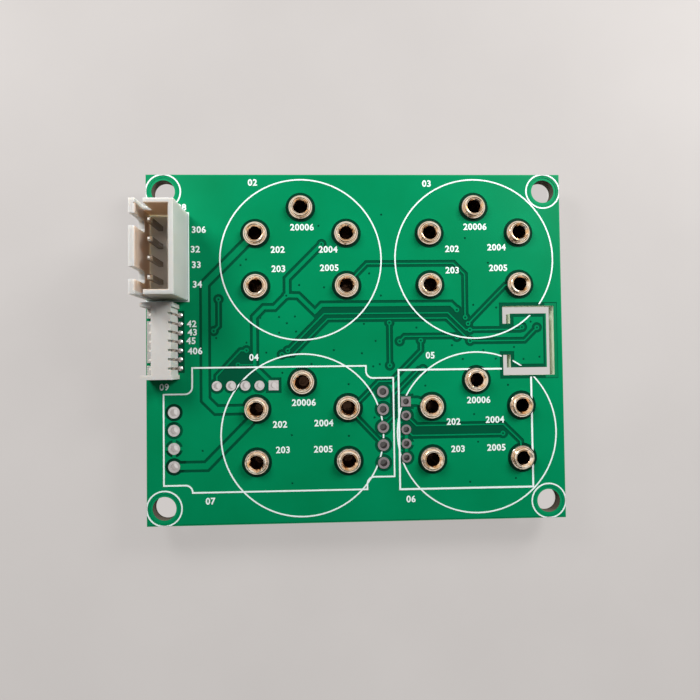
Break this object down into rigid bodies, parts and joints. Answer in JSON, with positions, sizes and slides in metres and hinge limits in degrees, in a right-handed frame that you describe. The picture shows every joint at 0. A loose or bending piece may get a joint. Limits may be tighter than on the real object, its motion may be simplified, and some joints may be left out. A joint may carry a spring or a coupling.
{
  "type": "air quality sensor module",
  "caption": "Rectangular green circuit board with plug-in gas sensor sockets in rings, plated pin rows, two side headers, corner holes and a routed slot.",
  "frame": {"origin": "centre of the rectangle of mounting holes, on the board's underside", "axes": "+X along the board's length, away from the two headers; +Y across the board, from the pin rows to the side of the wire header; +Z out of the component side"},
  "size_m": [0.0596, 0.0496, 0.0111],
  "materials": {
    "laminate": "matt",
    "green_mask": "glossy",
    "white_ink": "matt",
    "ivory_plastic": "satin",
    "grey_white_plastic": "satin",
    "gold_plate": "polished",
    "clip_metal": "satin",
    "solder": "satin",
    "tinned_metal": "satin"
  },
  "bodies": {
    "root": {"circuit_board": "laminate", "front_copper": "green_mask", "rear_copper": "green_mask", "legend": "white_ink", "socket_a1": "gold_plate", "socket_a2": "gold_plate", "socket_a3": "gold_plate", "socket_a4": "gold_plate", "socket_a5": "gold_plate", "socket_b1": "gold_plate", "socket_b2": "gold_plate", "socket_b3": "gold_plate", "socket_b4": "gold_plate", "socket_b5": "gold_plate", "socket_c1": "gold_plate", "socket_c2": "gold_plate", "socket_c3": "gold_plate", "socket_c4": "gold_plate", "socket_c5": "gold_plate", "socket_d1": "gold_plate", "socket_d2": "gold_plate", "socket_d3": "gold_plate", "socket_d4": "gold_plate", "socket_d5": "gold_plate", "contact_clips_a": "clip_metal", "contact_clips_b": "clip_metal", "contact_clips_c": "clip_metal", "contact_clips_d": "clip_metal", "socket_solder_a": "solder", "socket_solder_b": "solder", "socket_solder_c": "solder", "socket_solder_d": "solder", "pin_row_a": "tinned_metal", "pin_row_b": "tinned_metal", "pin_row_c": "tinned_metal", "pin_row_d": "tinned_metal", "header_housing": "ivory_plastic", "header_post_1": "tinned_metal", "header_post_2": "tinned_metal", "header_post_3": "tinned_metal", "header_post_4": "tinned_metal", "header_solder": "solder", "wafer_housing": "grey_white_plastic", "wafer_contact_1": "tinned_metal", "wafer_contact_2": "tinned_metal", "wafer_contact_3": "tinned_metal", "wafer_contact_4": "tinned_metal", "wafer_contact_5": "tinned_metal", "wafer_contact_6": "tinned_metal", "wafer_contact_7": "tinned_metal", "wafer_solder": "solder"}
  },
  "joints": []
}
